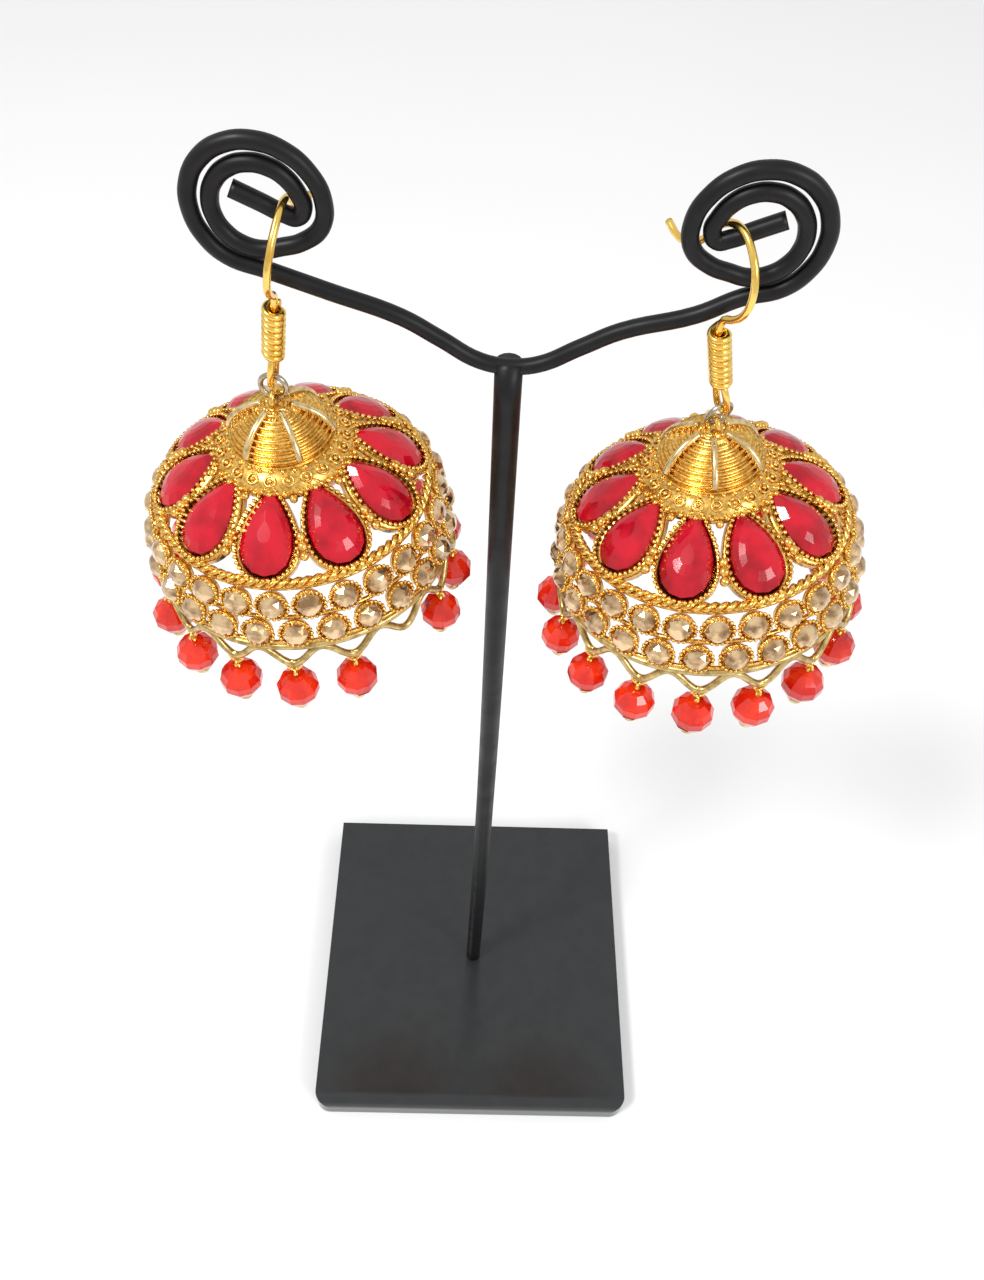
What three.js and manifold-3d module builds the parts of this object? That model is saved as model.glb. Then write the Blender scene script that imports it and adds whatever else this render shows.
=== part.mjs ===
// A pair of jhumka earrings on a wire display stand.
// Millimetres, +Z up, the stand's arms along X, the front of the stand towards -Y.
// The finished group stands on the XY plane with the middle of its bounding box over the origin.

import * as THREE from "three";
import { mergeVertices } from "three/addons/utils/BufferGeometryUtils.js";
import Module from "manifold-3d";

const wasm = await Module();
wasm.setup();

// ---------------------------------------------------------------- driving dimensions

const BASE = { width: 70, depth: 70, thickness: 6.6, edgeRound: 2.7, cornerRound: 3, turn: 2.5 };
const POST = { diameter: 3.2, top: 184.6, bow: 0.5 };
const ARM = { wire: 1.9, outerCoil: 6.8, innerCoil: 4.55, coilStart: -55, coilEnd: 520 };
const WIRE = { diameter: 0.8, helixRadius: 0.9, pitch: 0.84, loopHalfWidth: 0.95 };
const RING = { radius: 1.52, wire: 0.66 };
const EYE = { radius: 1.1, wire: 0.7, drop: 1.08 };

// The dome, measured down from its apex: each ring has a radius and a depth.
const CAP = { radius: 6.15, depth: 5.1, wall: 1.0 };
const PETAL = { count: 10, radius: 12.1, depth: 8.7, slope: 34 };
const STONE = { width: 6.0, length: 9.8, girdle: 0.9, crown: 1.1, table: 0.6 };
const BEZEL = { wall: 0.55, gap: 0.3, height: 1.8, floor: 0.6 };
const ROPE = { radius: 16.6, depth: 12.2, wire: 1.2 };
const BAND = { wall: 1.2, top: [17.6, 13.6], bottom: [19.0, 20.3] };
const RIM = { radius: 18.95, depth: 21.2, wire: 1.0 };
const WAVE = { count: 16, radius: 19.2, valley: 24.4, wire: 1.0 };
const DROP = { bead: 5.4, length: 5.0, bore: 1.3, below: 4.9, pin: 0.7, tail: 3.4, seed: 1.8 };

// One row for each side. contact is where the ear wire sits on the stub of the coil, measured
// from the coil's centre; hang is the foot of the ear wire's loop; pivot is the jump ring's
// lowest point, where the dome's eye hangs. turn and the two phases are degrees about Z.
const SIDES = [
  { name: "left", side: -1, coil: [25.5, 201.1], turn: -7, lean: 9.5, turns: 8, cutEnd: 0.4,
    hang: [-26.3, -1.3, 180.8], pivot: [-26.4, -1.3, 178.7], axis: [-0.0461, -0.0211, 0.9987],
    petalPhase: -2.4, wavePhase: 3.6, missingDrop: 2 },
  { name: "right", side: 1, coil: [23.5, 201.4], turn: 31, lean: 4, turns: 9, cutEnd: 1.6,
    hang: [24.3, -0.5, 180.3], pivot: [23.75, -0.3, 178.2], axis: [-0.1437, 0.0399, 0.9888],
    petalPhase: -15.1, wavePhase: -5.0, missingDrop: null },
];

// ---------------------------------------------------------------- finishes

const finish = (color, roughness, metalness) =>
  new THREE.MeshStandardMaterial({ color, roughness, metalness });
const MATERIALS = {
  blackCoat: finish(0x17181a, 0.35, 0.1),
  goldWire: finish(0xd9a93a, 0.25, 1.0),
  silverWire: finish(0xb9ab8c, 0.25, 1.0),
  antiqueGold: finish(0xc38f32, 0.32, 1.0),
  redStone: finish(0xb8142c, 0.12, 0.0),
  redBead: finish(0xe0261c, 0.08, 0.0),
};

// ---------------------------------------------------------------- small helpers

const rad = THREE.MathUtils.degToRad;
const polar = (radius, degrees, z) =>
  new THREE.Vector3(radius * Math.sin(rad(degrees)), -radius * Math.cos(rad(degrees)), z);

function closedTriangles(geometry) {
  const bare = geometry.clone();
  bare.deleteAttribute("normal");
  bare.deleteAttribute("uv");
  const merged = mergeVertices(bare, 1e-4);
  const index = [];
  for (let i = 0; i < merged.index.count; i += 3) {
    const [a, b, c] = [0, 1, 2].map((k) => merged.index.getX(i + k));
    if (a !== b && b !== c && c !== a) index.push(a, b, c);
  }
  merged.setIndex(index);
  return merged;
}

function toSolid(geometry) {
  const mesh = closedTriangles(geometry);
  return new wasm.Manifold(new wasm.Mesh({
    numProp: 3,
    vertProperties: new Float32Array(mesh.attributes.position.array),
    triVerts: new Uint32Array(mesh.index.array),
  }));
}

function toGeometry(solid) {
  const mesh = solid.getMesh();
  const geometry = new THREE.BufferGeometry();
  geometry.setAttribute("position", new THREE.BufferAttribute(mesh.vertProperties, 3));
  geometry.setIndex(new THREE.BufferAttribute(mesh.triVerts, 1));
  geometry.computeVertexNormals();
  return geometry;
}

const join = (geometries) =>
  geometries.map(toSolid).reduce((whole, piece) => whole.add(piece));

// A round wire along a curve, as a prism with the given number of sides.
function wireAlong(curve, diameter, sides, steps) {
  const section = new THREE.Shape();
  for (let i = 0; i < sides; i++) {
    const angle = (2 * Math.PI * i) / sides;
    const [x, y] = [Math.cos(angle) * diameter / 2, Math.sin(angle) * diameter / 2];
    if (i === 0) section.moveTo(x, y);
    else section.lineTo(x, y);
  }
  section.closePath();
  return new THREE.ExtrudeGeometry(section, { steps, extrudePath: curve, bevelEnabled: false });
}

// A closed ring of wire: pointAt runs once round the Z axis as its argument runs from 0 to 1.
function wireRing(pointAt, diameter, sides, steps) {
  const positions = [];
  const index = [];
  for (let i = 0; i < steps; i++) {
    const centre = pointAt(i / steps);
    const tangent = pointAt((i + 0.1) / steps).sub(pointAt((i - 0.1) / steps)).normalize();
    const outward = new THREE.Vector3(centre.x, centre.y, 0).normalize();
    const third = new THREE.Vector3().crossVectors(tangent, outward).normalize();
    for (let k = 0; k < sides; k++) {
      const angle = (2 * Math.PI * k) / sides;
      const corner = centre.clone()
        .addScaledVector(outward, Math.cos(angle) * diameter / 2)
        .addScaledVector(third, Math.sin(angle) * diameter / 2);
      positions.push(corner.x, corner.y, corner.z);
      const [a, b] = [i * sides + k, i * sides + (k + 1) % sides];
      const [c, d] = [a, b].map((v) => (v + sides) % (steps * sides));
      index.push(a, b, d, a, d, c);
    }
  }
  const geometry = new THREE.BufferGeometry();
  geometry.setAttribute("position", new THREE.Float32BufferAttribute(positions, 3));
  geometry.setIndex(index);
  return geometry;
}

const smoothCurve = (points) => new THREE.CatmullRomCurve3(points, false, "centripetal");

// A profile of [radius, z] pairs turned about Z.
function turned(profile, segments) {
  const points = profile.map(([r, z]) => new THREE.Vector2(r, z));
  return new THREE.LatheGeometry(points, segments).rotateX(Math.PI / 2);
}

function tear(width, length, count) {
  const points = [];
  const widest = 0.84;
  for (let i = 0; i < count; i++) {
    const t = (-2 * Math.PI * i) / count;
    const x = (width / 2) * Math.sin(t) * Math.abs(Math.sin(t / 2)) ** 0.6 / widest;
    points.push(new THREE.Vector2(x, (length / 2) * Math.cos(t)));
  }
  return new THREE.Shape(points);
}

// Copies of one outline stacked at [scale, z] levels and closed with a fan at each end.
function stacked(outline, levels) {
  const corners = outline.getPoints();
  const n = corners.length;
  const positions = levels.flatMap(([scale, z]) => corners.flatMap((p) => [p.x * scale, p.y * scale, z]));
  const ends = [levels[0][1], levels[levels.length - 1][1]];
  ends.forEach((z) => positions.push(0, 0, z));
  const index = [];
  for (let i = 0; i < n; i++) {
    const j = (i + 1) % n;
    for (let k = 0; k + 1 < levels.length; k++) {
      const [a, b, c, d] = [k * n + i, k * n + j, (k + 1) * n + j, (k + 1) * n + i];
      index.push(a, b, c, a, c, d);
    }
    const top = (levels.length - 1) * n;
    index.push(levels.length * n, j, i, levels.length * n + 1, top + i, top + j);
  }
  const geometry = new THREE.BufferGeometry();
  geometry.setAttribute("position", new THREE.Float32BufferAttribute(positions, 3));
  geometry.setIndex(index);
  geometry.computeVertexNormals();
  return geometry;
}

function mesh(name, geometry, material) {
  const piece = new THREE.Mesh(geometry, material);
  piece.name = name;
  return piece;
}

// ---------------------------------------------------------------- the stand

// A block whose top front edge is rounded, with rounded front corners.
function standBase() {
  const { width, depth, thickness, edgeRound, cornerRound } = BASE;
  const side = new THREE.Shape();
  side.moveTo(depth / 2, 0);
  side.lineTo(depth / 2, thickness);
  side.lineTo(-depth / 2 + edgeRound, thickness);
  side.absarc(-depth / 2 + edgeRound, thickness - edgeRound, edgeRound, Math.PI / 2, Math.PI);
  side.lineTo(-depth / 2, 0);
  side.closePath();
  const block = new THREE.ExtrudeGeometry(side, { depth: width, bevelEnabled: false, curveSegments: 5 });
  block.rotateX(Math.PI / 2).rotateZ(Math.PI / 2).translate(-width / 2, 0, 0);

  const plan = new THREE.Shape();
  const [x, y, r] = [width / 2, depth / 2, cornerRound];
  plan.moveTo(x, y);
  plan.lineTo(-x, y);
  plan.lineTo(-x, -y + r);
  plan.absarc(-x + r, -y + r, r, Math.PI, Math.PI * 1.5);
  plan.lineTo(x - r, -y);
  plan.absarc(x - r, -y + r, r, -Math.PI / 2, 0);
  plan.closePath();
  const slab = new THREE.ExtrudeGeometry(plan, { depth: thickness * 2, bevelEnabled: false, curveSegments: 5 });
  slab.translate(0, 0, -thickness / 2);
  return toGeometry(toSolid(block).intersect(toSolid(slab)));
}

// Radius of the flat coil at an angle: one outer turn, then one inner turn.
function coilRadius(angle) {
  const inward = THREE.MathUtils.smoothstep(angle, 178, 250);
  return THREE.MathUtils.lerp(ARM.outerCoil, ARM.innerCoil, inward);
}

// One arm from the post outwards, as points [outward, z].
function armRoute([coilX, coilZ]) {
  const route = [[3.2, 184.5], [7.6, 187.1], [11.7, 189.5], [19.2, 192.1], [coilX, coilZ - 6.85]];
  for (let angle = ARM.coilStart; angle <= ARM.coilEnd; angle += 25) {
    const r = coilRadius(angle);
    route.push([coilX + r * Math.cos(rad(angle)), coilZ + r * Math.sin(rad(angle))]);
  }
  const stub = [[-4.6, 0.35], [-3.9, -0.75], [-2.7, -0.5], [-0.4, 0.6], [2.3, 1.87]];
  return route.concat(stub.map(([outward, up]) => [coilX + outward, coilZ + up]));
}

function standFrame() {
  const [left, right] = SIDES.map(({ side, coil }) =>
    armRoute(coil).map(([outward, z]) => new THREE.Vector3(side * outward, 0, z)));
  const root = new THREE.Vector3(0, 0, 184);
  const wire = wireAlong(smoothCurve([...left.reverse(), root, ...right]), ARM.wire, 6, 96);
  const bowed = [0, 0.33, 0.67, 1].map((t) =>
    new THREE.Vector3(POST.bow * Math.sin(Math.PI * t), 0, BASE.thickness + 0.3 +
      t * (POST.top - BASE.thickness - 0.3)));
  const rod = wireAlong(smoothCurve(bowed), POST.diameter, 12, 4);
  return toGeometry(toSolid(wire).add(toSolid(rod)));
}

// ---------------------------------------------------------------- ear wires and jump rings

// Side view of the ear wire from its tip to the top of its wrapped coil: u runs forwards and
// v up, from the middle of the stub that it hangs on.
const EAR_WIRE = [
  [-9.4, -3.2], [-7.6, -3.8], [-5.8, -3.6], [-4.0, -2.5], [-2.0, 0.3], [0.0, 1.65], [1.7, 1.6],
  [3.4, 0.5], [4.8, -1.3], [5.4, -3.5], [5.0, -5.6], [3.8, -6.9], [2.7, -7.6], [2.5, -8.3],
];
const COIL_TOP = [2.5, -9.0];

const forwards = (row) => new THREE.Vector3(Math.sin(rad(row.turn)), -Math.cos(rad(row.turn)), 0);
const sideways = (row) => new THREE.Vector3(Math.cos(rad(row.turn)), Math.sin(rad(row.turn)), 0);

function earWirePoint(row, [u, v]) {
  const point = forwards(row).multiplyScalar(u);
  point.x += v * Math.sin(rad(row.lean));
  point.z += v * Math.cos(rad(row.lean));
  const contact = new THREE.Vector3(row.side * (row.coil[0] - 2.7), 0, row.coil[1] - 0.5);
  return point.add(contact);
}

// The wire runs down through its own coil, round the loop, and wraps back up.
function earWire(row) {
  const points = EAR_WIRE.map((uv) => earWirePoint(row, uv));
  const top = earWirePoint(row, COIL_TOP);
  const hang = new THREE.Vector3(...row.hang);
  const down = hang.clone().sub(top).normalize();
  const across = forwards(row);
  across.addScaledVector(down, -across.dot(down)).normalize();
  const third = new THREE.Vector3().crossVectors(down, across);
  const length = hang.distanceTo(top);
  const at = (along, u, w) => top.clone().addScaledVector(down, along)
    .addScaledVector(across, u).addScaledVector(third, w);

  const coilLength = row.turns * WIRE.pitch;
  const leg = WIRE.loopHalfWidth;
  points.push(top, at(coilLength * 0.35, 0, 0), at(coilLength * 0.7, 0, 0), at(coilLength, 0.05, 0));
  points.push(at(coilLength + 1.0, leg * 0.75, 0), at(length - leg * 1.4, leg, 0));
  points.push(at(length - leg * 0.3, leg * 0.72, 0), at(length, 0, 0));
  points.push(at(length - leg * 0.3, -leg * 0.72, 0), at(length - leg * 1.4, -leg, 0));
  points.push(at(coilLength + 0.9, -leg * 0.98, 0));
  const stepsPerTurn = 8;
  for (let i = 0; i <= row.turns * stepsPerTurn; i++) {
    const angle = Math.PI + (2 * Math.PI * i) / stepsPerTurn;
    const along = coilLength + 0.3 - (i / stepsPerTurn) * WIRE.pitch;
    points.push(at(along, WIRE.helixRadius * Math.cos(angle), WIRE.helixRadius * Math.sin(angle)));
  }
  points.push(at(0.2, -WIRE.helixRadius, -row.cutEnd));
  return wireAlong(smoothCurve(points), WIRE.diameter, 5, row.turns * 8 + 56);
}

function jumpRing(row) {
  const pivot = new THREE.Vector3(...row.pivot);
  const up = new THREE.Vector3(...row.hang).sub(pivot).normalize();
  const normal = new THREE.Vector3().crossVectors(sideways(row), up).normalize();
  const across = new THREE.Vector3().crossVectors(up, normal);
  const frame = new THREE.Matrix4().makeBasis(across, up, normal);
  frame.setPosition(pivot.addScaledVector(up, RING.radius));
  return new THREE.TorusGeometry(RING.radius, RING.wire / 2, 6, 14).applyMatrix4(frame);
}

// ---------------------------------------------------------------- the dome

// Turns a piece drawn flat at the origin into its place on the petal ring: its Y towards the
// apex, its Z outwards from the dome.
function onPetalRing(geometry, degrees, lift) {
  return geometry.translate(0, 0, lift)
    .rotateX(rad(PETAL.slope))
    .translate(0, -PETAL.radius, -PETAL.depth)
    .rotateZ(rad(degrees));
}

const petalAngle = (row, i) => row.petalPhase + (360 / PETAL.count) * i;
const waveAngle = (row, i) => row.wavePhase + (360 / WAVE.count) * i;

function capShell() {
  const steps = 3;
  const arc = (radius, depth, start) => Array.from({ length: steps + 1 }, (_, i) => {
    const angle = (i / steps) * rad(84);
    return [radius * Math.sin(angle), start - depth * (1 - Math.cos(angle))];
  });
  const outside = arc(CAP.radius, CAP.depth, 0);
  const inside = arc(CAP.radius - CAP.wall, CAP.depth - CAP.wall * 0.7, -CAP.wall);
  return turned([...inside, ...outside.reverse()], 12);
}

// The ring of small florets between the cap and the petals, as one sloping collar.
const collar = () =>
  turned([[5.3, -4.3], [5.6, -5.5], [8.4, -7.0], [8.6, -6.0], [6.0, -4.2], [5.3, -4.3]], 12);

function bezel(degrees) {
  const around = 2 * (BEZEL.gap + BEZEL.wall);
  const cup = new THREE.ExtrudeGeometry(tear(STONE.width + around, STONE.length + around, 8),
    { depth: BEZEL.height, bevelEnabled: false });
  const pocket = new THREE.ExtrudeGeometry(
    tear(STONE.width + 2 * BEZEL.gap, STONE.length + 2 * BEZEL.gap, 8),
    { depth: BEZEL.height, bevelEnabled: false });
  pocket.translate(0, 0, BEZEL.floor);
  return [onPetalRing(cup, degrees, -BEZEL.height), onPetalRing(pocket, degrees, -BEZEL.height)];
}

// Rope, rhinestone band and rim share one turned section.
function bandSection() {
  const half = BAND.wall / 2;
  const [top, bottom] = [BAND.top, BAND.bottom];
  const profile = [
    [ROPE.radius - 0.6, -ROPE.depth], [ROPE.radius + 0.3, -ROPE.depth + 0.5], [top[0] + half, -top[1]],
    [bottom[0] + half, -bottom[1]], [RIM.radius + 0.5, -RIM.depth], [RIM.radius, -RIM.depth - 0.5],
    [bottom[0] - half, -bottom[1]], [top[0] - half, -top[1]], [ROPE.radius - 0.6, -ROPE.depth],
  ];
  return turned(profile.reverse(), 20);
}

// The wavy wire below the rim, soldered to it at every peak.
function waveWire(row) {
  const peak = RIM.depth + 0.45;
  return wireRing((t) => {
    const swing = 0.5 - 0.5 * Math.cos(2 * Math.PI * WAVE.count * (t + 0.5 / WAVE.count));
    const radius = THREE.MathUtils.lerp(RIM.radius, WAVE.radius, swing);
    return polar(radius, row.wavePhase + 360 * t, -THREE.MathUtils.lerp(peak, WAVE.valley, swing));
  }, WAVE.wire, 4, WAVE.count * 4);
}

const valleyPoint = (row, i) => polar(WAVE.radius, waveAngle(row, i), -WAVE.valley);

// A head pin that hangs plumb from a valley: shank, then the head that keeps the bead on.
function headPin(row, i, plumb) {
  const r = DROP.pin / 2;
  const tail = DROP.below + DROP.tail;
  const head = DROP.seed / 2;
  const pin = turned([[0, -tail - head], [head, -tail], [r, -tail + head], [r, 0.2], [0, 0.2]], 4);
  return pin.applyQuaternion(plumb).translate(...valleyPoint(row, i));
}

function domeMetal(row, plumb) {
  const pieces = [capShell(), collar(), bandSection(), waveWire(row)];
  pieces.push(new THREE.SphereGeometry(1.5, 6, 4).translate(0, 0, -1.3));
  const eye = new THREE.TorusGeometry(EYE.radius, EYE.wire / 2, 4, 10).rotateY(Math.PI / 2);
  pieces.push(eye.translate(0, 0, EYE.drop - 0.22).rotateZ(rad(row.turn)));
  const pockets = [];
  for (let i = 0; i < PETAL.count; i++) {
    const [cup, pocket] = bezel(petalAngle(row, i));
    pieces.push(cup);
    pockets.push(pocket);
    const granule = new THREE.OctahedronGeometry(1.3);
    const between = petalAngle(row, i) + 180 / PETAL.count;
    pieces.push(granule.translate(0, -13.5, -10.4).rotateZ(rad(between)));
  }
  for (let i = 0; i < WAVE.count; i++) {
    if (i !== row.missingDrop) pieces.push(headPin(row, i, plumb));
  }
  const solid = join(pieces);
  return toGeometry(pockets.map(toSolid).reduce((whole, pocket) => whole.subtract(pocket), solid));
}

function tearStone(row, i) {
  const { width, length, girdle, crown, table } = STONE;
  const levels = [[1, 0], [1, girdle], [table, girdle + crown]];
  const floor = -BEZEL.height + BEZEL.floor + BEZEL.gap;
  return onPetalRing(stacked(tear(width, length, 8), levels), petalAngle(row, i), floor);
}

// A faceted crystal bead with a straight bore, on its pin.
function redBead(row, i, plumb) {
  const [r, half, bore] = [DROP.bead / 2, DROP.length / 2, DROP.bore / 2];
  const profile = [[bore, -half], [bore, half], [r * 0.6, half], [r, 0],
    [r * 0.6, -half], [bore, -half]];
  const bead = turned(profile.reverse(), 8).translate(0, 0, -DROP.below);
  return bead.applyQuaternion(plumb).translate(...valleyPoint(row, i));
}

// ---------------------------------------------------------------- one earring

function earring(row) {
  const group = new THREE.Group();
  group.add(mesh(`ear_hook_${row.name}`, earWire(row), MATERIALS.goldWire));
  group.add(mesh(`jump_ring_${row.name}`, jumpRing(row), MATERIALS.silverWire));

  const dome = new THREE.Group();
  const axis = new THREE.Vector3(...row.axis).normalize();
  dome.quaternion.setFromUnitVectors(new THREE.Vector3(0, 0, 1), axis);
  dome.position.set(...row.pivot).addScaledVector(axis, -EYE.drop);
  const plumb = dome.quaternion.clone().invert();
  dome.add(mesh(`dome_${row.name}`, domeMetal(row, plumb), MATERIALS.antiqueGold));
  for (let i = 0; i < PETAL.count; i++) {
    const name = `tear_stone_${row.name}_${String(i + 1).padStart(2, "0")}`;
    dome.add(mesh(name, tearStone(row, i), MATERIALS.redStone));
  }
  for (let i = 0; i < WAVE.count; i++) {
    if (i === row.missingDrop) continue;
    const name = `red_bead_${row.name}_${String(i + 1).padStart(2, "0")}`;
    dome.add(mesh(name, redBead(row, i, plumb), MATERIALS.redBead));
  }
  return group.add(dome);
}

// ---------------------------------------------------------------- the whole object

const display = new THREE.Group();
const plate = mesh("stand_base", standBase(), MATERIALS.blackCoat);
plate.rotation.z = rad(BASE.turn);
display.add(plate, mesh("stand_frame", standFrame(), MATERIALS.blackCoat));
for (const row of SIDES) display.add(earring(row));

display.updateMatrixWorld(true);
const box = new THREE.Box3().setFromObject(display, true);
display.position.set(-(box.min.x + box.max.x) / 2, -(box.min.y + box.max.y) / 2, -box.min.z);

export default display;
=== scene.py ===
# %% [markdown]
# # A pair of jhumka earrings on a wire stand
# Every finer piece below is built in metres at the place where the frame has its plain
# counterpart, then takes over.
# %% Load the frame
import math
import bmesh, bpy
from mathutils import Matrix, Vector


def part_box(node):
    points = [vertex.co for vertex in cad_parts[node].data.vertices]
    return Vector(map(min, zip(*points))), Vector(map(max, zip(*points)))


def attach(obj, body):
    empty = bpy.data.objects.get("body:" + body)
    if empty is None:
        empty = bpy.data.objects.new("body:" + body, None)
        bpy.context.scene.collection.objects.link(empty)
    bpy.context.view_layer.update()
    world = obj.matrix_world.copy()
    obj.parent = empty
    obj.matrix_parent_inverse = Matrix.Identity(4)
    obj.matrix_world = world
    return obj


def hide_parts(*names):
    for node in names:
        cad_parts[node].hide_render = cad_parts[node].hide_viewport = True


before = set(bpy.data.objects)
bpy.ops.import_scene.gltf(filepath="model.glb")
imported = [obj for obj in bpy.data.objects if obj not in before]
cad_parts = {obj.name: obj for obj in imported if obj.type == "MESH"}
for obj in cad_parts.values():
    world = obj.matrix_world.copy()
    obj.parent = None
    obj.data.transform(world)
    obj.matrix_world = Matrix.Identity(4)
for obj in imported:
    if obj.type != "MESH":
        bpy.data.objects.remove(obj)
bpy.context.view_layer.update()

MM = 0.001
low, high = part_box("stand_base")
SHIFT = Vector(((low.x + high.x) / 2, (low.y + high.y) / 2, 0))

# %% [markdown]
# ## The two sides
# The earrings differ only in how they hang, so one row of numbers describes each: where the
# coil of the stand is, how the ear wire is turned, and how the dome's axis leans.
# %% Sizes in millimetres
SIDES = [
    dict(name="left", side=-1, coil=(25.5, 201.1), turn=-7, lean=9.5, turns=8, cut=0.4,
         hang=(-26.3, -1.3, 180.8), pivot=(-26.4, -1.3, 178.7), axis=(-0.0461, -0.0211, 0.9987),
         petals=-2.4, ribs=32, waves=3.6, missing=2),
    dict(name="right", side=1, coil=(23.5, 201.4), turn=31, lean=4, turns=9, cut=1.6,
         hang=(24.3, -0.5, 180.3), pivot=(23.75, -0.3, 178.2), axis=(-0.1437, 0.0399, 0.9888),
         petals=-15.1, ribs=15, waves=-5.0, missing=None),
]
EYE_DROP = 1.08
rad = math.radians


def polar(radius, degrees, z):
    return Vector((radius * math.sin(rad(degrees)), -radius * math.cos(rad(degrees)), z))


def dome_matrix(row):
    """Places a dome drawn with its apex at the origin, in millimetres."""
    axis = Vector(row["axis"]).normalized()
    turn = Vector((0, 0, 1)).rotation_difference(axis).to_matrix().to_4x4()
    return Matrix.Translation(Vector(row["pivot"]) - axis * EYE_DROP) @ turn


# %% [markdown]
# ## Finishes
# Each plated costume metal blends a light and a dark tone in random patches from a fine noise,
# and the same noise roughens it. The stones are clear glass over a coloured back: a strong clear
# coat over a saturated base gives that depth.
# %% A two-tone finish
def finish(name, light, dark, roughness, metallic=0.0, scale=900, bump=0.15, **shader):
    material = bpy.data.materials.new(name)
    material.use_nodes = True
    nodes, links = material.node_tree.nodes, material.node_tree.links
    surface = nodes["Principled BSDF"]
    place = nodes.new("ShaderNodeTexCoord")
    noise = nodes.new("ShaderNodeTexNoise")
    noise.inputs["Scale"].default_value = scale
    noise.inputs["Detail"].default_value = 4
    links.new(place.outputs["Object"], noise.inputs["Vector"])
    tone = nodes.new("ShaderNodeValToRGB")
    tone.color_ramp.elements[0].position, tone.color_ramp.elements[1].position = 0.36, 0.6
    tone.color_ramp.elements[0].color = (*dark, 1)
    tone.color_ramp.elements[1].color = (*light, 1)
    links.new(noise.outputs["Fac"], tone.inputs["Fac"])
    links.new(tone.outputs["Color"], surface.inputs["Base Color"])
    polish = nodes.new("ShaderNodeMapRange")
    polish.inputs["To Min"].default_value = roughness * 1.3
    polish.inputs["To Max"].default_value = roughness * 0.7
    links.new(noise.outputs["Fac"], polish.inputs["Value"])
    links.new(polish.outputs["Result"], surface.inputs["Roughness"])
    relief = nodes.new("ShaderNodeBump")
    relief.inputs["Strength"].default_value = bump
    relief.inputs["Distance"].default_value = 0.00005
    links.new(noise.outputs["Fac"], relief.inputs["Height"])
    links.new(relief.outputs["Normal"], surface.inputs["Normal"])
    surface.inputs["Metallic"].default_value = metallic
    for socket, value in shader.items():
        surface.inputs[socket.replace("_", " ")].default_value = value
    return material


BLACK = finish("black_stand_coat", (0.006, 0.006, 0.007), (0.003, 0.003, 0.004), 0.42, scale=350,
               bump=0.1, Specular_IOR_Level=0.25)
PLATE = finish("black_plate_gloss", (0.024, 0.026, 0.027), (0.021, 0.023, 0.024), 0.16, scale=250,
               bump=0.02, Specular_IOR_Level=0.4)
# The gold mixes bright yellow and dark brown in random patches laid down by the noise.
GOLD = finish("antique_gold", (0.95, 0.60, 0.16), (0.56, 0.29, 0.055), 0.25, 1.0, scale=2600, bump=0.4)
BRIGHT = finish("ear_wire_gold", (0.95, 0.66, 0.17), (0.8, 0.48, 0.09), 0.2, 1.0, scale=600)
OLIVE = finish("aged_brass_wire", (0.66, 0.49, 0.21), (0.36, 0.24, 0.08), 0.32, 1.0, scale=1100)
PALE = finish("pale_rib_metal", (0.85, 0.66, 0.36), (0.55, 0.38, 0.15), 0.25, 1.0, scale=1300)
SILVER = finish("silver_ring", (0.52, 0.46, 0.36), (0.3, 0.25, 0.17), 0.25, 1.0, scale=700)
CRIMSON = finish("crimson_stone", (0.52, 0.003, 0.018), (0.30, 0.001, 0.008), 0.12, scale=260,
                 bump=0.0, Coat_Weight=0.15, Coat_Roughness=0.05, Specular_IOR_Level=0.35)
SCARLET = finish("scarlet_crystal", (1.0, 0.04, 0.008), (0.7, 0.01, 0.004), 0.05, scale=300,
                 bump=0.0, Transmission_Weight=0.5, Coat_Weight=0.3, Coat_Roughness=0.03, IOR=1.5)
CHAMPAGNE = finish("champagne_rhinestone", (0.80, 0.56, 0.30), (0.30, 0.16, 0.06), 0.1, 0.85,
                   scale=700, bump=0.0, Coat_Weight=1.0, Coat_Roughness=0.03)
print("finishes", len(bpy.data.materials))

# %% [markdown]
# ## Making and placing pieces
# Each piece is drawn in millimetres with bmesh, moved by one matrix, then shrunk to metres, so its
# object can stay at the origin. A ring of equal details is one detail spun round the dome's axis.
# %% Helpers
TO_ROW = Matrix.Translation(SHIFT) @ Matrix.Scale(MM, 4)


def piece(bm, name, material, body, place=Matrix(), smooth=True, replaces=()):
    bmesh.ops.transform(bm, matrix=TO_ROW @ place, verts=bm.verts)
    bmesh.ops.recalc_face_normals(bm, faces=bm.faces)
    mesh = bpy.data.meshes.new(name)
    bm.to_mesh(mesh)
    bm.free()
    mesh.materials.append(material)
    mesh.polygons.foreach_set("use_smooth", [smooth] * len(mesh.polygons))
    obj = bpy.data.objects.new(name, mesh)
    bpy.context.collection.objects.link(obj)
    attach(obj, body)
    if replaces:
        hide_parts(*replaces)
    return obj


def add(bm, other, place=Matrix()):
    """Adds one bmesh to another, moved by place."""
    bmesh.ops.transform(other, matrix=place, verts=other.verts)
    mesh = bpy.data.meshes.new("part")
    other.to_mesh(mesh)
    other.free()
    bm.from_mesh(mesh)
    bpy.data.meshes.remove(mesh)
    return bm


def spun(bm, count):
    """Repeats everything in bm round Z, so that there are count of it."""
    geometry = bm.verts[:] + bm.edges[:] + bm.faces[:]
    bmesh.ops.spin(bm, geom=geometry, cent=(0, 0, 0), axis=(0, 0, 1), dvec=(0, 0, 0),
                   angle=2 * math.pi * (count - 1) / count, steps=count - 1, use_duplicate=True)
    return bm


def ball(radius, place=Matrix(), rough=1):
    bm = bmesh.new()
    bmesh.ops.create_icosphere(bm, subdivisions=rough, radius=radius, matrix=place)
    return bm


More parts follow.
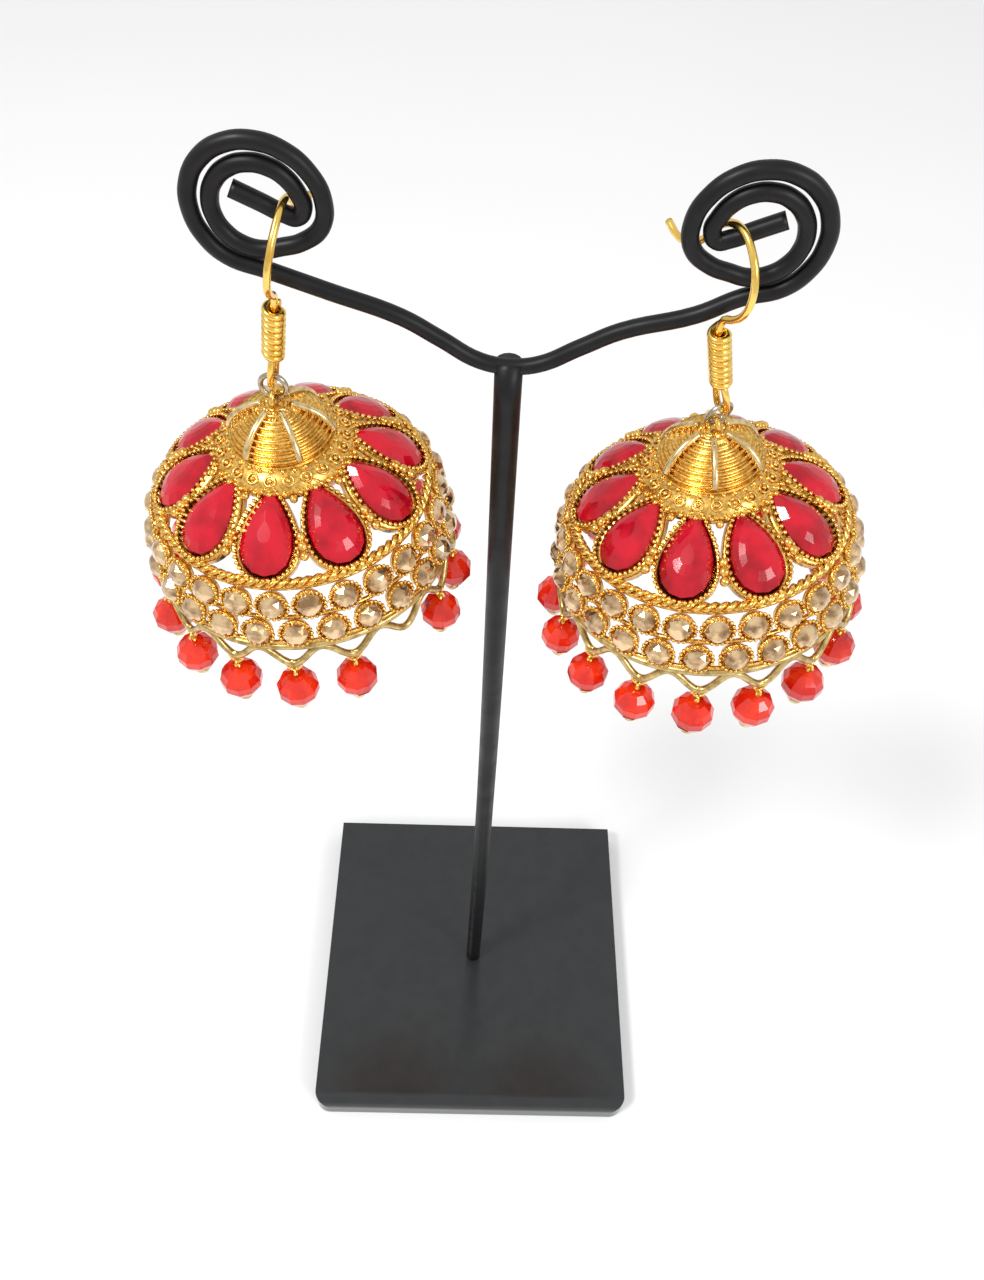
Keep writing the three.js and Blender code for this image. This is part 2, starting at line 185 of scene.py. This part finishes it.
def turned(profile, steps):
    """Spins a chain of (radius, z) points into a closed ring of metal."""
    bm = bmesh.new()
    chain = [bm.verts.new((0, -r, z)) for r, z in profile]
    edges = [bm.edges.new((chain[i], chain[(i + 1) % len(chain)])) for i in range(len(chain))]
    bmesh.ops.spin(bm, geom=chain + edges, cent=(0, 0, 0), axis=(0, 0, 1), dvec=(0, 0, 0),
                   angle=2 * math.pi, steps=steps, use_merge=True)
    bmesh.ops.remove_doubles(bm, verts=bm.verts, dist=1e-4)
    return bm


def wire(points, radius, closed=False, sides=3, between=6):
    """A round wire through the points, as a bmesh."""
    curve = bpy.data.curves.new("wire", "CURVE")
    curve.dimensions, curve.bevel_depth, curve.bevel_resolution = "3D", radius, sides
    curve.use_fill_caps, curve.resolution_u = not closed, between
    spline = curve.splines.new("BEZIER")
    spline.bezier_points.add(len(points) - 1)
    for knot, point in zip(spline.bezier_points, points):
        knot.co, knot.handle_left_type, knot.handle_right_type = point, "AUTO", "AUTO"
    spline.use_cyclic_u = closed
    obj = bpy.data.objects.new("wire", curve)
    bpy.context.collection.objects.link(obj)
    mesh = bpy.data.meshes.new_from_object(obj.evaluated_get(bpy.context.evaluated_depsgraph_get()))
    bm = bmesh.new()
    bm.from_mesh(mesh)
    bmesh.ops.remove_doubles(bm, verts=bm.verts, dist=1e-4)
    bpy.data.objects.remove(obj)
    bpy.data.curves.remove(curve)
    bpy.data.meshes.remove(mesh)
    return bm


def ring(major, minor, place=Matrix(), steps=24):
    """A closed wire ring in the XY plane, moved by place."""
    bm = bmesh.new()
    section = bmesh.ops.create_circle(bm, segments=8, radius=minor, matrix=Matrix.Translation(
        (major, 0, 0)) @ Matrix.Rotation(rad(90), 4, "X"))["verts"]
    bmesh.ops.spin(bm, geom=section + bm.edges[:], cent=(0, 0, 0), axis=(0, 0, 1), dvec=(0, 0, 0),
                   angle=2 * math.pi, steps=steps, use_merge=True)
    bmesh.ops.remove_doubles(bm, verts=bm.verts, dist=1e-4)
    bmesh.ops.transform(bm, matrix=place, verts=bm.verts)
    return bm


# %% [markdown]
# ## The stand
# One length of coated wire makes both arms: it dips to the post and coils flat at each end. Drawing
# it as a single curve keeps the bends soft, as a bending jig leaves them.
# %% Arms, coils and post
ARM_WIRE, POST_WIRE = 0.92, 1.6
OUTER_COIL, INNER_COIL = 6.7, 4.55
POST_FOOT, POST_TOP, POST_BOW = 6.7, 184.6, 0.5
STUB = ((-4.6, 0.35), (-3.9, -0.75), (-2.7, -0.5), (-0.4, 0.6), (2.3, 1.87))


def coil_radius(angle):
    """One outer turn, easing into one inner turn."""
    t = min(max((angle - 178) / 72, 0), 1)
    return OUTER_COIL + (INNER_COIL - OUTER_COIL) * t * t * (3 - 2 * t)


def arm(row):
    cx, cz = row["coil"]
    route = [(3.2, 184.5), (7.6, 187.1), (11.7, 189.5), (19.2, 192.1), (cx, cz - 6.85)]
    for angle in range(-55, 521, 25):
        r = coil_radius(angle)
        route.append((cx + r * math.cos(rad(angle)), cz + r * math.sin(rad(angle))))
    route += [(cx + u, cz + v) for u, v in STUB]
    return [Vector((row["side"] * x, 0, z)) for x, z in route]


left_arm, right_arm = arm(SIDES[0]), arm(SIDES[1])
stand = wire(left_arm[::-1] + [Vector((0, 0, 184))] + right_arm, ARM_WIRE, sides=5)
post = [Vector((POST_BOW * math.sin(math.pi * t / 6), 0, POST_FOOT + t * (POST_TOP - POST_FOOT) / 6))
        for t in range(7)]
add(stand, wire(post, POST_WIRE, sides=6))
piece(stand, "stand_wire", BLACK, "stand", replaces=["stand_frame"])
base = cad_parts["stand_base"]
base.data.materials.clear()
base.data.materials.append(PLATE)
print("stand arms", len(left_arm) + len(right_arm), "knots")

# %% [markdown]
# ## The ear wires
# Each ear wire is one piece: from the tail over the stub, round the front, down through its own
# coil, round the loop that holds the jump ring, and back up in close turns.
# %% One ear wire
EAR_WIRE = [(-9.4, -3.2), (-7.6, -3.8), (-5.8, -3.6), (-4.0, -2.5), (-2.0, 0.3), (0.0, 1.65), (1.7, 1.6),
            (3.4, 0.5), (4.8, -1.3), (5.4, -3.5), (5.0, -5.6), (3.8, -6.9), (2.7, -7.6), (2.5, -8.3)]


EAR_WIRE_RADIUS, HELIX, PITCH, LEG = 0.4, 0.9, 0.84, 0.95
COIL_TOP = (2.5, -9.0)
RING_RADIUS, RING_WIRE = 1.52, 0.33


def forwards(row):
    return Vector((math.sin(rad(row["turn"])), -math.cos(rad(row["turn"])), 0))


def ear_point(row, u, v):
    contact = Vector((row["side"] * (row["coil"][0] - 2.7), 0, row["coil"][1] - 0.5))
    upwards = Vector((math.sin(rad(row["lean"])), 0, math.cos(rad(row["lean"]))))
    return contact + forwards(row) * u + upwards * v


def ear_wire(row):
    points = [ear_point(row, u, v) for u, v in EAR_WIRE]
    top, hang = ear_point(row, *COIL_TOP), Vector(row["hang"])
    down = (hang - top).normalized()
    across = forwards(row)
    across = (across - down * across.dot(down)).normalized()
    third = down.cross(across)
    length, coil = (hang - top).length, row["turns"] * PITCH

    def at(along, u, w=0):
        return top + down * along + across * u + third * w

    points += [top, at(coil * 0.35, 0), at(coil * 0.7, 0), at(coil, 0.05), at(coil + 1, LEG * 0.75),
               at(length - LEG * 1.4, LEG), at(length - LEG * 0.3, LEG * 0.72), at(length, 0),
               at(length - LEG * 0.3, -LEG * 0.72), at(length - LEG * 1.4, -LEG), at(coil + 0.9, -LEG)]
    for i in range(row["turns"] * 8 + 1):
        angle = math.pi + 2 * math.pi * i / 8
        points.append(at(coil + 0.3 - i / 8 * PITCH, HELIX * math.cos(angle), HELIX * math.sin(angle)))
    return wire(points + [at(0.2, -HELIX, -row["cut"])], EAR_WIRE_RADIUS, between=4)


for row in SIDES:
    name = row["name"]
    piece(ear_wire(row), f"ear_wire_{name}", BRIGHT, "stand", replaces=[f"ear_hook_{name}"])
    pivot = Vector(row["pivot"])
    up = (Vector(row["hang"]) - pivot).normalized()
    normal = Vector((math.cos(rad(row["turn"])), math.sin(rad(row["turn"])), 0)).cross(up).normalized()
    turn = Matrix((up.cross(normal), up, normal)).transposed().to_4x4()
    jump = ring(RING_RADIUS, RING_WIRE, Matrix.Translation(pivot + up * RING_RADIUS) @ turn, 40)
    piece(jump, f"jump_ring_{name}_wire", SILVER, f"ring_{name}",
          replaces=[f"jump_ring_{name}"])
print("ear wires and jump rings made")

# %% [markdown]
# ## The cap
# The top of the dome is raised from sheet with fine ridges, and six pale ribs are soldered over it.
# A ridged profile spun once makes the sheet. Small granules crowd round the eye.
# %% Cap, ribs and granules
def cap_point(angle, proud=0.0):
    return (6.15 + proud) * math.sin(rad(angle)), proud - 5.1 * (1 - math.cos(rad(angle)))


def cap_sheet():
    outside = [cap_point(a * 2, (0.08, 0.3, 0.08, -0.3)[a % 4]) for a in range(3, 43)]
    inside = [(r * 0.84, z - 0.8) for r, z in outside[::-6]]
    return turned(outside + inside, 60)


def ribs(start):
    rib = wire([Vector((0, -cap_point(a, 0.3)[0], cap_point(a, 0.3)[1])) for a in range(16, 86, 10)], 0.42)
    return spun(add(bmesh.new(), rib, Matrix.Rotation(rad(start), 4, "Z")), 6)


def apex():
    bm = ball(1.5, Matrix.Translation((0, 0, -1.3)), 3)
    for count, radius, z, size in ((6, 1.35, -0.35, 0.5), (9, 2.2, -0.6, 0.45)):
        add(bm, spun(ball(size, Matrix.Translation((0, -radius, z)), 2), count))
    return bm


# %% [markdown]
# ## The flower ring
# Between the cap and the big stones runs a ring of florets: a plate edged with granules and tiny
# loops, which is how filigree workers hide the joint between two sheets.
# %% Collar with florets
def collar():
    bm = turned([(5.3, -4.3), (5.6, -5.5), (8.4, -7.0), (8.6, -6.0), (7.2, -4.9), (6.0, -4.2)], 48)
    tilt = Matrix.Rotation(rad(30), 4, "X")
    add(bm, spun(ring(0.62, 0.17, Matrix.Translation((0, -7.5, -5.0)) @ tilt, 10), 22))
    add(bm, spun(ball(0.34, Matrix.Translation((0, -7.5, -4.95))), 22))
    add(bm, spun(ball(0.36, Matrix.Translation((0, -6.5, -4.45))), 30))
    return add(bm, spun(ball(0.42, Matrix.Translation((0, -8.6, -6.0))), 30))


# %% [markdown]
# ## The ten teardrop stones and their bezels
# A round disc is pulled into a teardrop, then extruded and inset: outwards for the bezel's cup, and
# in steps for the stone's crown. Leaving the stone flat shaded keeps the cut faces crisp.
# %% Teardrop outline
def tear_disc(width, length, segments):
    bm = bmesh.new()
    bmesh.ops.create_circle(bm, cap_ends=True, segments=segments, radius=1)
    for v in bm.verts:
        t = math.atan2(v.co.x, v.co.y)
        v.co.x = width / 2 * math.sin(t) * abs(math.sin(t / 2)) ** 0.8 / 0.805
        v.co.y = length / 2 * math.cos(t)
    return bm


def raise_face(bm, height):
    """Extrudes the topmost face upwards and returns it."""
    top = max(bm.faces, key=lambda f: f.calc_center_median().z)
    made = bmesh.ops.extrude_face_region(bm, geom=[top])["geom"]
    faces = [g for g in made if isinstance(g, bmesh.types.BMFace)]
    bmesh.ops.translate(bm, vec=(0, 0, height), verts=faces[0].verts)
    return faces[0]


def bezel():
    bm = tear_disc(7.7, 11.5, 36)
    top = raise_face(bm, 1.9)
    bmesh.ops.inset_region(bm, faces=[top], thickness=0.55)
    bmesh.ops.translate(bm, vec=(0, 0, -1.3), verts=top.verts)
    rim = tear_disc(7.3, 11.0, 44)
    spots = [v.co.copy() for v in rim.verts]
    rim.free()
    for spot in spots:
        add(bm, ball(0.33, Matrix.Translation((spot.x, spot.y, 1.95))))
    return bm


def stone():
    bm = tear_disc(6.1, 9.9, 16)
    top = raise_face(bm, 0.9)
    for shrink, rise in ((0.76, 0.7), (0.68, 0.36), (0.5, 0.14)):
        top = raise_face(bm, rise)
        bmesh.ops.scale(bm, vec=(shrink, shrink, 1), verts=top.verts)
    bmesh.ops.poke(bm, faces=[top])
    bmesh.ops.triangulate(bm, faces=bm.faces, quad_method="ALTERNATE")
    return bm


def on_petals(bm, lift):
    """Tilts a piece onto the dome's slope and repeats it for the ten petals."""
    place = Matrix.Translation((0, -12.1, -8.7)) @ Matrix.Rotation(rad(34), 4, "X")
    bmesh.ops.transform(bm, matrix=place @ Matrix.Translation((0, 0, lift)), verts=bm.verts)
    return spun(bm, 10)


# %% [markdown]
# ## Rope and rhinestone band
# Two strands twisted together cover the seam above the band. Below it two staggered rows of round
# glass stones sit in beaded settings, twenty-six to a row, on one turned sheet.
# %% Rope, band and settings
ROPE_RADIUS, ROPE_Z, ROPE_TWISTS, STRAND = 16.6, -12.2, 44, 0.34


def rope():
    bm, steps = bmesh.new(), ROPE_TWISTS * 4
    for start in (0, math.pi):
        points = []
        for i in range(steps):
            turn = start + math.pi / 2 * i
            radius, z = ROPE_RADIUS + STRAND * math.cos(turn), ROPE_Z + STRAND * math.sin(turn)
            points.append(polar(radius, 360 * i / steps, z))
        add(bm, wire(points, 0.36, closed=True, sides=1, between=2))
    return bm


IN_A_ROW = 26
ROWS = [(17.45, -14.9, 0.0), (18.35, -19.0, 180 / IN_A_ROW)]


def band():
    bm = bmesh.new()
    for radius, z, wire_radius in ((16.75, -12.9, 0.28), (17.8, -17.0, 0.3), (18.75, -20.7, 0.3)):
        add(bm, ring(radius, wire_radius, Matrix.Translation((0, 0, z)), 78))
    for radius, z, shift in ROWS:
        cup = bmesh.new()
        bmesh.ops.create_cone(cup, cap_ends=True, segments=16, radius1=1.6, radius2=2.0, depth=1.1)
        add(cup, spun(ball(0.27, Matrix.Translation((1.93, 0, 0.58))), 20))
        turn = Matrix.Rotation(rad(shift), 4, "Z") @ Matrix.Translation((0, -radius, z))
        add(bm, spun(add(bmesh.new(), cup, turn @ Matrix.Rotation(rad(78), 4, "X")), IN_A_ROW))
    return bm


def rhinestones():
    bm = bmesh.new()
    for radius, z, shift in ROWS:
        gem = bmesh.new()
        bmesh.ops.create_cone(gem, cap_ends=True, segments=8, radius1=1.68, radius2=1.5, depth=0.3)
        for shrink, rise in ((0.72, 0.5), (0.55, 0.2)):
            top = raise_face(gem, rise)
            bmesh.ops.scale(gem, vec=(shrink, shrink, 1), verts=top.verts)
            bmesh.ops.rotate(gem, cent=(0, 0, 0), matrix=Matrix.Rotation(rad(22.5), 3, "Z"), verts=top.verts)
        bmesh.ops.triangulate(gem, faces=gem.faces)
        bmesh.ops.translate(gem, vec=(0, 0, 0.75), verts=gem.verts)
        turn = Matrix.Rotation(rad(shift), 4, "Z") @ Matrix.Translation((0, -radius, z))
        add(bm, spun(add(bmesh.new(), gem, turn @ Matrix.Rotation(rad(78), 4, "X")), IN_A_ROW))
    return bm


# %% [markdown]
# ## Rim, wavy wire and drops
# A plain wire stiffens the rim, and a wavy one below it is soldered at each peak. A drop hangs in
# every valley: a small loop, an eye, a cut bead and a seed bead on one pin, always plumb.
# %% Wavy wire
WAVES, RIM_RADIUS, RIM_Z = 16, 18.95, -21.2
VALLEY_RADIUS, VALLEY_Z = 19.2, -24.4


def wavy_wire(row):
    points, steps = [], 8
    for i in range(WAVES * steps):
        swing = 0.5 - 0.5 * math.cos(2 * math.pi * (i / steps + 0.5))
        azimuth = row["waves"] + 360 * i / (WAVES * steps)
        points.append(polar(RIM_RADIUS + 0.25 * swing, azimuth, -21.65 - 2.75 * swing))
    bm = wire(points, 0.46, closed=True, between=2)
    return add(bm, ring(RIM_RADIUS, 0.5, Matrix.Translation((0, 0, RIM_Z)), 96))


def valleys(row):
    """The foot of each wave that still has its drop."""
    place = dome_matrix(row)
    return [place @ polar(VALLEY_RADIUS, row["waves"] + 360 / WAVES * i, VALLEY_Z)
            for i in range(WAVES) if i != row["missing"]]


def drop_metal():
    bm = ring(0.85, 0.2, Matrix.Translation((0, 0, -0.45)) @ Matrix.Rotation(rad(90), 4, "Y"), 16)
    add(bm, ring(0.5, 0.18, Matrix.Translation((0, 0, -1.75)) @ Matrix.Rotation(rad(90), 4, "X"), 12))
    shank = bmesh.new()
    bmesh.ops.create_cone(shank, cap_ends=True, segments=8, radius1=0.28, radius2=0.28, depth=7.2)
    return add(bm, shank, Matrix.Translation((0, 0, -5.6)))


def drop_bead():
    bm = bmesh.new()
    bmesh.ops.create_uvsphere(bm, u_segments=10, v_segments=7, radius=2.72)
    for v in bm.verts:
        v.co.z *= 0.95
    return add(bmesh.new(), bm, Matrix.Translation((0, 0, -4.9)))


def seed_bead():
    end = ball(0.4, Matrix.Translation((0, 0, -8.95)), 2)
    return add(ring(0.62, 0.44, Matrix.Translation((0, 0, -8.25)), 14), end)


def hung(row, make):
    """One copy of a drop's piece in every valley, plumb whatever the dome's lean."""
    bm = bmesh.new()
    for spot in valleys(row):
        yaw = Matrix.Rotation(math.atan2(spot.y, spot.x - row["pivot"][0]), 4, "Z")
        add(bm, make(), Matrix.Translation(spot) @ yaw)
    return bm


# %% [markdown]
# ## Putting each earring together
# Everything on a dome rides on that dome's body, so it swings as one. Each group of pieces takes
# over the plain solid that it stands for.
# %% Both domes
for row in SIDES:
    name, place = row["name"], dome_matrix(row)
    body = f"dome_{name}"
    petals = place @ Matrix.Rotation(rad(row["petals"]), 4, "Z")
    eye = Matrix.Translation((0, 0, EYE_DROP - 0.22)) @ Matrix.Rotation(rad(row["turn"]), 4, "Z") @ \
        Matrix.Rotation(rad(90), 4, "Y")
    stones = [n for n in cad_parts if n.startswith(f"tear_stone_{name}")]
    beads = [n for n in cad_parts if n.startswith(f"red_bead_{name}")]
    piece(cap_sheet(), f"cap_{name}", GOLD, body, petals, replaces=[f"dome_{name}"])
    piece(ribs(row["ribs"]), f"cap_ribs_{name}", PALE, body, petals)
    piece(add(apex(), ring(1.1, 0.35, eye)), f"apex_{name}", GOLD, body, place)
    piece(collar(), f"flower_ring_{name}", GOLD, body, petals)
    piece(on_petals(bezel(), -1.8), f"bezels_{name}", GOLD, body, petals)
    joints = bmesh.new()
    for radius, z, size in ((13.0, -8.6, 0.62), (13.9, -9.2, 0.66), (14.8, -9.9, 0.6), (9.2, -6.3, 0.5)):
        add(joints, spun(ball(size, Matrix.Translation(polar(radius, 18, z)), 2), 10))
    piece(joints, f"granules_{name}", GOLD, body, petals)
    piece(on_petals(stone(), -0.9), f"tear_stones_{name}", CRIMSON, body, petals, False, stones)
    piece(rope(), f"rope_{name}", GOLD, body, place)
    piece(band(), f"band_{name}", GOLD, body, place)
    piece(rhinestones(), f"rhinestones_{name}", CHAMPAGNE, body, place, False)
    piece(wavy_wire(row), f"wavy_wire_{name}", OLIVE, body, place)
    piece(hung(row, drop_metal), f"drop_loops_{name}", BRIGHT, body)
    piece(hung(row, drop_bead), f"drop_beads_{name}", SCARLET, body, Matrix(), False, beads)
    piece(hung(row, seed_bead), f"seed_beads_{name}", PALE, body)
    print("earring", name, "has", len(stones), "stones and", len(beads), "drops")

# %% [markdown]
# ## Floor, light and camera
# A pale floor and a nearly white surround give polished metal something even to reflect. The
# camera looks down from in front, close enough for the domes to look much larger than the base.
# %% Floor and light
bm = bmesh.new()
bmesh.ops.create_grid(bm, x_segments=1, y_segments=1, size=3)
mesh = bpy.data.meshes.new("floor")
bm.to_mesh(mesh)
bm.free()
floor = bpy.data.objects.new("floor", mesh)
floor.data.materials.append(finish("pale_floor", (0.9, 0.9, 0.9), (0.88, 0.88, 0.88), 0.6, scale=3, bump=0))
bpy.context.collection.objects.link(floor)
world = bpy.data.worlds.new("studio")
world.use_nodes = True
world.node_tree.nodes["Background"].inputs["Color"].default_value = (1, 1, 1, 1)
world.node_tree.nodes["Background"].inputs["Strength"].default_value = 0.82
bpy.context.scene.world = world
LAMPS = [("key", (-0.35, -0.25, 0.75), 0.14, 3.2), ("fill", (0.45, -0.4, 0.5), 0.25, 1.6)]
for name, spot, size, power in LAMPS:
    lamp = bpy.data.lights.new(name, "AREA")
    lamp.size, lamp.energy = size, power
    light = bpy.data.objects.new(name, lamp)
    light.location = spot
    light.rotation_euler = (Vector((0, 0, 0.16)) - Vector(spot)).to_track_quat("-Z", "Y").to_euler()
    bpy.context.collection.objects.link(light)

# %% Camera
pitch, yaw, roll = rad(52.69), rad(-0.29), rad(3.46)
forward = Vector((math.sin(yaw) * math.cos(pitch), math.cos(yaw) * math.cos(pitch), -math.sin(pitch)))
right = Vector((math.cos(yaw), -math.sin(yaw), 0))
down = forward.cross(right)
right, down = right * math.cos(roll) - down * math.sin(roll), down * math.cos(roll) + right * math.sin(roll)
lens = bpy.data.cameras.new("camera")
lens.lens, lens.sensor_width, lens.clip_start = 29.5, 36, 0.002
camera = bpy.data.objects.new("camera", lens)
turn = Matrix((right, -down, -forward)).transposed().to_4x4()
camera.matrix_world = Matrix.Translation(Vector((0.45, -94.35, 257.81)) * MM + SHIFT) @ turn
bpy.context.collection.objects.link(camera)
bpy.context.scene.camera = camera
bpy.context.scene.view_settings.view_transform = "Standard"
